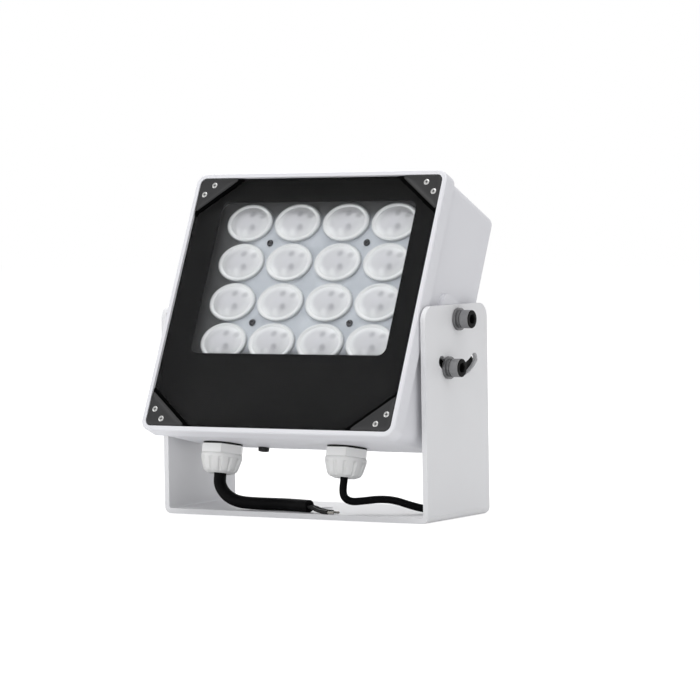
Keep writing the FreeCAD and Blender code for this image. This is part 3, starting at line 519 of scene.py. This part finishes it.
def clamp_plate(sx, sz):
    """The clamp: a flat back, a straight edge, a bevel along a quarter of an ellipse, a narrow land and
    a shallow sunk field."""
    turn = np.linspace(0, math.pi / 2, 6)
    edge_back = clamp_front + clamp_edge_deep
    section = [(clamp_middle, clamp_back), (0.0, clamp_back), (0.0, edge_back)]
    section += zip(clamp_edge_in * (1 - np.cos(turn)), edge_back - clamp_edge_deep * np.sin(turn))
    section += [(0.0010, clamp_front), (0.0012, clamp_field), (0.0036, clamp_field),
                (clamp_middle, clamp_field)]
    return corner_rings(sx, sz, clamp_triangle(0), [0.0036, 0.0010, 0.0010], 9, section)


def clamp_shade_strip(sx, sz):
    """The strip of painted shade under the lip: the same triangle, 2 mm larger over the slanted edge, with a
    slanted lip.
    """
    section = [(clamp_middle, shade_strip_back), (0.0, shade_strip_back), (0.0, 0.00105), (0.0002, 0.00085),
               (0.0005, shade_strip_front), (clamp_middle, shade_strip_front)]
    return corner_rings(sx, sz, clamp_triangle(shade_strip_lap), [0.0036, 0.0006, 0.0006], 7, section)


clamp_plastic = finish("clamp_polyamide", (0.020, 0.020, 0.021), 0.45, 0.0005, 0.00001, drift=0.3, gloss=0.3)
# Near-black painted shade for the strip under each clamp's lip.
clamp_shade_black = finish("clamp_painted_shade", (0.001, 0.001, 0.001), 0.9, 0.0006, 0.00001, gloss=0.02)
for sx, sz in clamp_corners:
    corner = ("top" if sz > 0 else "bottom") + "_" + ("left" if sx < 0 else "right")
    plate = grid_piece("clamp_plate_" + corner, [clamp_plate(sx, sz)], clamp_plastic)
    fit(plate, "clamp_black", "head", "corner_clamp_" + corner)
shade_strips = grid_piece("clamp_shade_strips", [clamp_shade_strip(sx, sz) for sx, sz in clamp_corners], clamp_shade_black)
fit(shade_strips, "seal_rubber", "head")

# Clamp screws: eight M3 stainless screws with domed heads and cross recesses, two in each clamp.
# They go into the casting's corner posts.
screw_steel = finish("stainless_screw", (0.46, 0.46, 0.455), 0.30, 0.0004, 0.000006, metal=1.0)
screw_r, screw_head_r, tip_edge = 0.0015, 0.0023, 0.0004
clamp_screw_end, clamp_screw_seat = 0.0150, 0.0014
screw_top, screw_dome_height = 0.00015, 0.0007
cross_half_width, cross_reach, cross_depth = 0.00046, 0.00135, 0.00040


def clamp_screw(x, up):
    """Rings of a screw along the depth: a closed tip, the shank, the head's underside and side, and a
    dome that falls with the fourth power of the radius. Its cross recess is a dip where either arm of
    the cross is near."""
    v = np.linspace(0, 2 * math.pi, 64, endpoint=False)
    shank = [(0.0, clamp_screw_end), (screw_r - tip_edge, clamp_screw_end),
             (screw_r, clamp_screw_end - tip_edge), (screw_r, clamp_screw_seat),
             (screw_head_r, clamp_screw_seat), (screw_head_r, screw_top + screw_dome_height)]
    r = np.linspace(screw_head_r, 0.0, 26)
    dome = screw_top + screw_dome_height * (r / screw_head_r) ** 4
    radius, depth = [np.array(values)[:, None] for values in zip(*shank, *zip(r, dome))]
    a, b = radius * np.cos(v), radius * np.sin(v)
    arm = np.minimum(np.abs(a) + 0.35 * np.abs(b), np.abs(b) + 0.35 * np.abs(a))
    inside = np.clip((cross_half_width - arm) / 0.00018, 0, 1)
    inside = inside * np.clip((cross_reach - radius) / 0.0002, 0, 1)
    front = (np.arange(len(radius)) >= len(shank))[:, None]
    return on_head(x + a, depth + cross_depth * inside * front, up + b)


clamp_screws = []
for sx, sz in clamp_corners:
    edge = face_top if sz > 0 else face_bottom
    for from_side, from_edge in ((0.0100, 0.0044), (0.0044, 0.0100)):
        clamp_screws.append(clamp_screw(sx * (face_right - from_side), edge - sz * from_edge))
fit(grid_piece("clamp_screw_set", clamp_screws, screw_steel), "screw_steel", "head", "clamp_screws")

# Lenses: sixteen oval collimators of clear moulded resin with frosted domes. Each has a raised rim, a
# cone down to its emitter, and three small moulding marks that show through the dome.
lens_w, lens_h = 0.0304, 0.0228
pitch_x, pitch_up, array_rise = 0.0320, 0.0240, 0.0125
lens_rows = lens_columns = 4
dome_r, crest_r, roll_r = 0.0092, 0.0105, 0.0009
dome_top, dome_fall, crest_rise = 0.0100, 0.0022, 0.0005
skirt_end, cone_r, cone_tip_r, cone_end = 0.0134, 0.0102, 0.0040, 0.0254
mould_marks = [(0.0019, 0.0044), (0.0084, 0.0038), (0.0036, -0.0034)]
mark_size, mark_depth = 0.0013, 0.00018


def lens_rings():
    """One lens as rings round its own axis, stretched across to the oval's width. The dome drops with
    a power of the radius, the rim's inner side rises again as a sine squared, its outer side turns
    down along a quarter circle, and the straight side and the cone follow behind. Each moulding mark
    is a shallow dip that fades as exp(-(distance / size)^2)."""
    r = np.linspace(0.0, dome_r, 36)
    rise = np.linspace(0, 1, 9)[1:]
    turn = np.linspace(0, math.pi / 2, 9)[1:]
    lowest = dome_top + dome_fall
    crest = lowest - crest_rise
    radius = np.concatenate([r, dome_r + (crest_r - dome_r) * rise, crest_r + roll_r * np.sin(turn),
                             [crest_r + roll_r, cone_r, cone_tip_r, 0.0]])[:, None]
    depth = np.concatenate([dome_top + dome_fall * (r / dome_r) ** 2.4,
                            lowest - crest_rise * np.sin(rise * math.pi / 2) ** 2,
                            crest + roll_r * (1 - np.cos(turn)),
                            [skirt_end, skirt_end, cone_end, cone_end]])[:, None]
    v = np.linspace(0, 2 * math.pi, 96, endpoint=False)
    a, b = radius * np.cos(v) * lens_w / lens_h, radius * np.sin(v)
    depth = depth + np.zeros_like(a)
    for mark_a, mark_b in mould_marks:
        apart = np.hypot(a - mark_a, b - mark_b)[:len(r)]
        depth[:len(r)] += mark_depth * np.exp(-(apart / mark_size) ** 2)
    return a, b, depth


def radius_mix(tree, vector, stops):
    """A colour that depends on how far a vector's length has gone from 0 to 1."""
    length = tree.nodes.new("ShaderNodeVectorMath")
    length.operation = "LENGTH"
    ramp = tree.nodes.new("ShaderNodeValToRGB")
    ramp.color_ramp.interpolation = "EASE"
    while len(ramp.color_ramp.elements) < len(stops):
        ramp.color_ramp.elements.new(0.5)
    for element, (place, colour) in zip(ramp.color_ramp.elements, stops):
        element.position = place
        element.color = (*colour, 1.0)
    tree.links.new(vector, length.inputs[0])
    tree.links.new(length.outputs["Value"], ramp.inputs["Fac"])
    return ramp.outputs["Color"]


lens_resin, tree, surface = new_material("lens_resin")
surface.inputs["Specular IOR Level"].default_value = 0.5
surface.inputs["Coat Weight"].default_value = 0.25
surface.inputs["Coat Roughness"].default_value = 0.08
lens_place = tree.nodes.new("ShaderNodeAttribute")
lens_place.attribute_name = "lens_place"
# Painted light and shade: each lens is greyer over its dome, lighter over its rim and darker again at its
# outer edge, in place of the shading inside a hollow collimator.
tone = radius_mix(tree, lens_place.outputs["Vector"], [
    (0.0, (0.53, 0.525, 0.56)), (0.50, (0.52, 0.515, 0.545)), (0.74, (0.63, 0.63, 0.65)),
    (0.86, (0.67, 0.67, 0.685)), (0.93, (0.61, 0.615, 0.63)), (1.0, (0.45, 0.46, 0.48)),
])
spread = tree.nodes.new("ShaderNodeVectorMath")
spread.operation = "MULTIPLY"
spread.inputs[1].default_value = (lens_w / 2, lens_h / 2, 0.0)
tree.links.new(lens_place.outputs["Vector"], spread.inputs[0])
# Each spot: its place across and up, its outer and inner radius, its strength and its colour.
# Painted light: a lighter patch over the right side of each dome.
painted_light_patch = (0.0095, -0.0010, 0.0072, 0.0010, 0.35, (0.60, 0.60, 0.63))
# Painted highlight: a bright spot low on each dome.
painted_highlight = (-0.0010, -0.0064, 0.0034, 0.0004, 0.55, (0.78, 0.78, 0.80))
mark_spots = [(a, b, 0.0028, 0.0006, 0.55, (0.24, 0.235, 0.265)) for a, b in mould_marks]
for spot_a, spot_b, outer, inner, strength, colour in [painted_light_patch, painted_highlight] + mark_spots:
    apart = tree.nodes.new("ShaderNodeVectorMath")
    apart.operation = "DISTANCE"
    apart.inputs[1].default_value = (spot_a, spot_b, 0.0)
    tree.links.new(spread.outputs["Vector"], apart.inputs[0])
    near = ranged(tree, apart.outputs["Value"], strength, 0.0, inner, outer, "SMOOTHSTEP")
    tone = colour_mix(tree, near, tone, colour)
cloud = noise(tree, lens_place.outputs["Vector"], 3.0, 3.0)
tree.links.new(ranged(tree, cloud, 0.22, 0.42), surface.inputs["Roughness"])
tree.links.new(tone, surface.inputs["Base Color"])

lens_a, lens_b, lens_depth = lens_rings()
for row in range(lens_rows):
    for column in range(lens_columns):
        place = "r%d_c%d" % (row + 1, column + 1)
        middle_x = (column - (lens_columns - 1) / 2) * pitch_x
        middle_up = array_rise + ((lens_rows - 1) / 2 - row) * pitch_up
        rings = on_head(middle_x + lens_a, lens_depth, middle_up + lens_b)
        lens = grid_piece("lens_cup_" + place, [rings], lens_resin, crease=50.0)
        co = np.zeros(len(lens.data.vertices) * 3)
        lens.data.vertices.foreach_get("co", co)
        co = co.reshape(-1, 3)
        up = (co[:, 1] - pivot_y) * math.sin(head_tilt) + (co[:, 2] - pivot_z) * math.cos(head_tilt)
        local = np.stack([(co[:, 0] - middle_x) * 2 / lens_w, (up - middle_up) * 2 / lens_h, 0 * up], -1)
        attribute = lens.data.attributes.new("lens_place", "FLOAT_VECTOR", "POINT")
        attribute.data.foreach_set("vector", local.astype(np.float32).ravel())
        fit(lens, "lens_clear", "head", "lens_" + place)

# Lens tray: a bright bluish reflector field between the lenses, with painted shade that darkens it towards
# its left, top and bottom margins. It sits in front of the board on four pillars.
tray, tree, surface = new_material("lens_tray")
surface.inputs["Roughness"].default_value = 0.55
surface.inputs["Specular IOR Level"].default_value = 0.3
place = tree.nodes.new("ShaderNodeTexCoord").outputs["Object"]
straight = tree.nodes.new("ShaderNodeMapping")
straight.vector_type = "TEXTURE"
straight.inputs["Location"].default_value = (0.0, pivot_y, pivot_z)
straight.inputs["Rotation"].default_value = (-head_tilt, 0.0, 0.0)
parts = tree.nodes.new("ShaderNodeSeparateXYZ")
tree.links.new(place, straight.inputs["Vector"])
tree.links.new(straight.outputs["Vector"], parts.inputs["Vector"])
# Painted shade: this mask falls to the dark margin colour towards the tray's left, top and bottom edges.
field = ranged(tree, parts.outputs["X"], 0.0, 1.0, -0.0560, -0.0400, "SMOOTHSTEP")
for dark, bright in ((0.0570, 0.0440), (-0.0335, -0.0230)):
    edge = ranged(tree, parts.outputs["Z"], 0.0, 1.0, dark, bright, "SMOOTHSTEP")
    field = combine(tree, "MULTIPLY", field, edge)
mottle = noise(tree, place, 90.0, 3.0)
bright_field = colour_mix(tree, mottle, (0.32, 0.34, 0.385), (0.58, 0.605, 0.65))
painted_shade_margin = colour_mix(tree, mottle, (0.050, 0.050, 0.053), (0.080, 0.080, 0.084))
tree.links.new(colour_mix(tree, field, painted_shade_margin, bright_field), surface.inputs["Base Color"])
dress(tray, "lens_tray")

# Tray screws: four long M3 screws with small dark domed heads, between the lenses. They go through the
# tray's pillars, the board and the heat spreader into the casting.
dark_steel = finish("dark_steel", (0.05, 0.05, 0.055), 0.4, 0.0005, 0.00001, metal=1.0)
tray_screw_end, tray_screw_seat, tray_screw_head_r = 0.0386, 0.0135, 0.0020


def tray_screw(x, up):
    """Rings along the depth: a closed tip, the shank and a small head that is a low dome, with a round
    recess in its middle."""
    v = np.linspace(0, 2 * math.pi, 40, endpoint=False)
    end, seat, head_r = tray_screw_end, tray_screw_seat, tray_screw_head_r
    section = [(0.0, end), (screw_r - tip_edge, end), (screw_r, end - tip_edge), (screw_r, seat),
               (head_r - 0.0001, seat), (head_r, seat - 0.0002), (head_r, seat - 0.0005),
               (0.0018, seat - 0.0009), (0.0014, seat - 0.0012), (0.0009, seat - 0.00135),
               (0.0008, seat - 0.0013), (0.0007, seat - 0.0007), (0.0, seat - 0.0007)]
    radius, depth = [np.array(values)[:, None] for values in zip(*section)]
    return on_head(x + radius * np.cos(v), depth, up + radius * np.sin(v))


tray_screws = []
for rise in (pitch_up, -pitch_up):
    for x in (-pitch_x, pitch_x):
        tray_screws.append(tray_screw(x, array_rise + rise))
fit(grid_piece("tray_screws", tray_screws, dark_steel), "screw_steel", "head", "array_screws")


# Light engine behind the lenses: a white board, an emitter with a yellowish dome under each lens, and a
# rolled aluminium plate that carries the heat to the casting.
def patterned(material, kind, scale, low, high, colour):
    """Mixes a second colour into a finish where a procedural texture's value goes from low to high."""
    tree = material.node_tree
    base = tree.nodes["Principled BSDF"].inputs["Base Color"]
    first = base.links[0].from_socket
    texture = tree.nodes.new(kind)
    texture.inputs["Scale"].default_value = scale
    tree.links.new(tree.nodes.new("ShaderNodeTexCoord").outputs["Object"], texture.inputs["Vector"])
    band = ranged(tree, texture.outputs["Fac"], 0.0, 1.0, low, high)
    tree.links.new(colour_mix(tree, band, first, colour), base)
    return material


white_mask = finish("white_solder_mask", (0.72, 0.72, 0.71), 0.32, 0.0012, 0.00001)
dress(patterned(white_mask, "ShaderNodeTexBrick", 40.0, 0.2, 0.8, (0.60, 0.60, 0.57)), "led_board")
dress(finish("emitter_package", (0.55, 0.50, 0.30), 0.2, 0.0006, 0.00002), "led_emitters")
dress(finish("rolled_aluminium", (0.70, 0.71, 0.73), 0.35, 0.0010, 0.00001, metal=1.0), "heat_spreader")

# Driver electronics on posts of the back wall: a green board with a ferrite coil, three sleeved
# capacitors, two chips and a terminal block, held by four screws.
green_mask = finish("green_solder_mask", (0.02, 0.11, 0.045), 0.3, 0.0012, 0.00001)
dress(patterned(green_mask, "ShaderNodeTexBrick", 60.0, 0.2, 0.8, (0.05, 0.20, 0.07)), "driver_board")
ferrite = finish("ferrite_and_wire", (0.055, 0.055, 0.06), 0.6, 0.0006, 0.00003)
dress(patterned(ferrite, "ShaderNodeTexWave", 390.0, 0.45, 0.6, (0.40, 0.17, 0.07)), "driver_coil")
sleeve = finish("capacitor_sleeve", (0.02, 0.025, 0.05), 0.3, 0.0010, 0.00001)
dress(patterned(sleeve, "ShaderNodeTexWave", 60.0, 0.92, 0.97, (0.35, 0.36, 0.38)), "driver_capacitors")
dress(finish("chip_moulding", (0.018, 0.018, 0.018), 0.55, 0.0004, 0.00002), "driver_chips")
dress(finish("terminal_nylon", (0.06, 0.22, 0.09), 0.38, 0.0008, 0.00001), "terminal_block")
dress(dark_steel, "driver_screws")

# Arm screws: an M6 socket head screw with a knurled head at each pivot and in each arc slot, with a
# split ring and a flat washer under it. Plated steel, with the end and its socket blackened.
bolt_steel = finish("plated_steel", (0.30, 0.30, 0.305), 0.32, 0.0005, 0.00001, metal=1.0)
washer_steel = finish("washer_steel", (0.20, 0.20, 0.205), 0.42, 0.0005, 0.00001, metal=1.0)
black_oxide = finish("black_oxide", (0.004, 0.004, 0.004), 0.6, 0.0005, 0.00001, gloss=0.1)
bolt_tip, bolt_seat, bolt_end = 0.0737, 0.0899, 0.0957
bolt_r, bolt_head_r, bolt_edge_r, bolt_tip_edge = 0.0030, 0.0050, 0.0005, 0.0006
knurls, knurl_depth = 24, 0.00013
socket_half_flat = 0.0025
steel_rows, black_rows = 15, 10


def arm_screw(side, drop):
    """Rings along the screw's axis: tip, shank, head underside, a knurled side whose radius follows the
    size of a sine, a rounded edge, and a hexagon socket, radius = half flat / cos(angle to the flat)."""
    v = np.linspace(0, 2 * math.pi, 192, endpoint=False)
    edge = np.linspace(0, math.pi / 2, 6)
    shank = [(0.0, bolt_tip), (bolt_r - bolt_tip_edge, bolt_tip), (bolt_r, bolt_tip + bolt_tip_edge),
             (bolt_r, bolt_seat), (bolt_head_r - 0.0004, bolt_seat),
             (bolt_head_r - 0.0001, bolt_seat + 0.0003)]
    grip = [(bolt_head_r, x) for x in np.linspace(bolt_seat + 0.0007, bolt_end - 0.0009, 8)]
    rounding = [(bolt_head_r - bolt_edge_r * (1 - math.cos(e)), bolt_end - bolt_edge_r * (1 - math.sin(e)))
                for e in edge]
    crown = [(bolt_head_r - 0.0008, bolt_end + 0.00003)]
    radius, x = [np.array(values)[:, None] for values in zip(*shank, *grip, *rounding, *crown)]
    knurl = np.repeat([0.0, knurl_depth, 0.0], [len(shank), len(grip), len(rounding + crown)])
    radius = radius - knurl[:, None] * np.abs(np.sin(knurls * v))
    hexagon = socket_half_flat / np.cos((v + math.pi / 6) % (math.pi / 3) - math.pi / 6)
    socket_r = np.stack([hexagon + 0.0003, hexagon, hexagon, hexagon * 0.55, hexagon * 0.0])
    socket_x = bolt_end - np.array([0.0, 0.0003, 0.0030, 0.0036, 0.0038])[:, None]
    radius = np.concatenate([radius, socket_r])
    x = side * np.concatenate([x, socket_x])
    return on_head(x, radius * np.cos(v) + rim_to_pivot, drop + radius * np.sin(v))


tones = [0] * steel_rows + [1] * black_rows
for node, side, drop in (
    ("pivot_bolt_left", -1, 0.0), ("pivot_bolt_right", 1, 0.0),
    ("lock_bolt_left", -1, -lock_radius), ("lock_bolt_right", 1, -lock_radius),
):
    name = node.replace("bolt", "screw")
    piece = grid_piece(name, [arm_screw(side, drop)], bolt_steel, black_oxide, tones=tones, crease=30.0)
    fit(piece, "bolt_steel", "head", node)
dress(washer_steel, "flat_washers", "spring_washers")

# Cable glands: light grey polyamide. The hexagon body screws into the underside, and the tapered cap
# with twelve grip flutes squeezes the rubber seal onto the lead.
gland_plastic = finish("gland_polyamide", (0.80, 0.80, 0.79), 0.42, 0.0007, 0.00001, drift=0.02)
# Painted light: the body and nut, of the same polyamide as the cap, are made lighter to lift them out of the
# shade under the head.
gland_body_lightened = finish("gland_body_painted_light", (0.88, 0.88, 0.87), 0.42, 0.0007, 0.00001, drift=0.02)
dress(gland_body_lightened, "power_gland_body", "power_gland_nut", "signal_gland_body", "signal_gland_nut")
underside_fall, underside_run = 0.0115, 0.0530
underside_l = math.hypot(underside_fall, underside_run)
body_bottom, rim_depth, gland_from_back = -0.0801, 0.0090, 0.0192
cap_r, cap_mouth_r, cap_taper, seal_pocket_r = 0.0116, 0.0068, 0.0022, 0.0082
cap_top, cap_shoulder, cap_end = -0.0060, -0.0084, -0.0168
flutes, flute_half_width, flute_depth = 12, 0.0011, 0.0009


def under_head(x, y, z, along):
    """Places points of a piece drawn hanging down from z = 0: the underside rises to the back, and
    along is the distance from the rim's back along it."""
    slope_y, slope_up = underside_run / underside_l, underside_fall / underside_l
    depth = rim_depth + (along + y) * slope_y - z * slope_up
    up = body_bottom + (along + y) * slope_up + z * slope_y
    return on_head(x, depth, up)


def gland_cap(middle_x, bore):
    """Rings down the cap's outside, in over its end to the mouth and up inside, back to the first
    ring. The outside is a cone, r = r0 - k t, that the factor sqrt(1 - t^8) rounds off at its end. The
    flutes are grooves whose depth follows a circle's arc in the angle and fades out at both ends."""
    v = np.linspace(0, 2 * math.pi, 240, endpoint=False)
    t = np.sin(np.linspace(0, math.pi / 2, 16))
    cone_r = cap_mouth_r + (cap_r - cap_mouth_r - cap_taper * t) * np.sqrt(1 - t ** 8)
    cone_z = cap_shoulder + (cap_end - cap_shoulder) * t
    collar = [(seal_pocket_r, cap_top), (cap_r - 0.0004, cap_top), (cap_r, cap_top - 0.0004),
              (cap_r, cap_top - 0.0012)]
    mouth = [(cap_mouth_r - 0.0002, cap_end - 0.0003), (cap_mouth_r - 0.0005, cap_end - 0.0004),
             (bore + 0.0006, cap_end + 0.0002), (bore + 0.0003, cap_end + 0.0020),
             (seal_pocket_r, cap_end + 0.0028), (seal_pocket_r, cap_top)]
    radius, z = [np.array(values)[:, None] for values in zip(*collar, *zip(cone_r, cone_z), *mouth)]
    half_step = math.pi / flutes
    apart = (v + half_step) % (2 * half_step) - half_step
    groove = np.sqrt(np.clip(1 - (apart * cap_r / flute_half_width) ** 2, 0, 1))
    fade = np.clip(np.minimum(t * 12, (1 - t) * 6), 0, 1)
    fade = np.concatenate([np.zeros(len(collar)), fade, np.zeros(len(mouth))])
    radius = radius - flute_depth * fade[:, None] * groove
    return under_head(middle_x + radius * np.cos(v), radius * np.sin(v), z, underside_l - gland_from_back)


for node, middle_x, bore in (
    ("power_gland_cap", power_exit[0], power_diameter / 2),
    ("signal_gland_cap", signal_exit[0], signal_diameter / 2),
):
    piece = grid_piece(node + "_fluted", [gland_cap(middle_x, bore)], gland_plastic, crease=45.0)
    fit(piece, "gland_grey", "head", node)

# Vent plug: a small black moulding at the back of the underside, screwed into the casting, that lets
# the head breathe.
vent_moulding = finish("vent_moulding", (0.015, 0.015, 0.015), 0.5, 0.0006, 0.00001, gloss=0.3)
vent_x, vent_from_back = -0.0370, 0.0052
vent_r, vent_thread_r, vent_edge_r = 0.0031, 0.0025, 0.0008
vent_height, vent_stub, vent_sink = 0.0024, 0.0030, 0.0003


def vent(middle_x, along):
    """Rings down the plug: its closed inner end, the threaded stub, the head's flat upper side, its
    straight side, a rounded edge and a round sunk field in the middle of its face."""
    v = np.linspace(0, 2 * math.pi, 56, endpoint=False)
    edge = np.linspace(0, math.pi / 2, 7)
    section = [(0.0, vent_stub), (vent_thread_r - tip_edge, vent_stub),
               (vent_thread_r, vent_stub - tip_edge), (vent_thread_r, 0.0),
               (vent_r - 0.0002, 0.0), (vent_r, -0.0002)]
    section += zip(vent_r - vent_edge_r * (1 - np.cos(edge)), vent_edge_r * (1 - np.sin(edge)) - vent_height)
    section += [(0.0019, -vent_height), (0.0017, vent_sink - vent_height), (0.0, vent_sink - vent_height)]
    radius, z = [np.array(values)[:, None] for values in zip(*section)]
    return under_head(middle_x + radius * np.cos(v), radius * np.sin(v), z, along)


plug_rings = vent(vent_x, underside_l - vent_from_back)
plug = grid_piece("vent_plug_moulded", [plug_rings], vent_moulding, crease=35.0)
fit(plug, "vent_black", "head", "vent_plug")
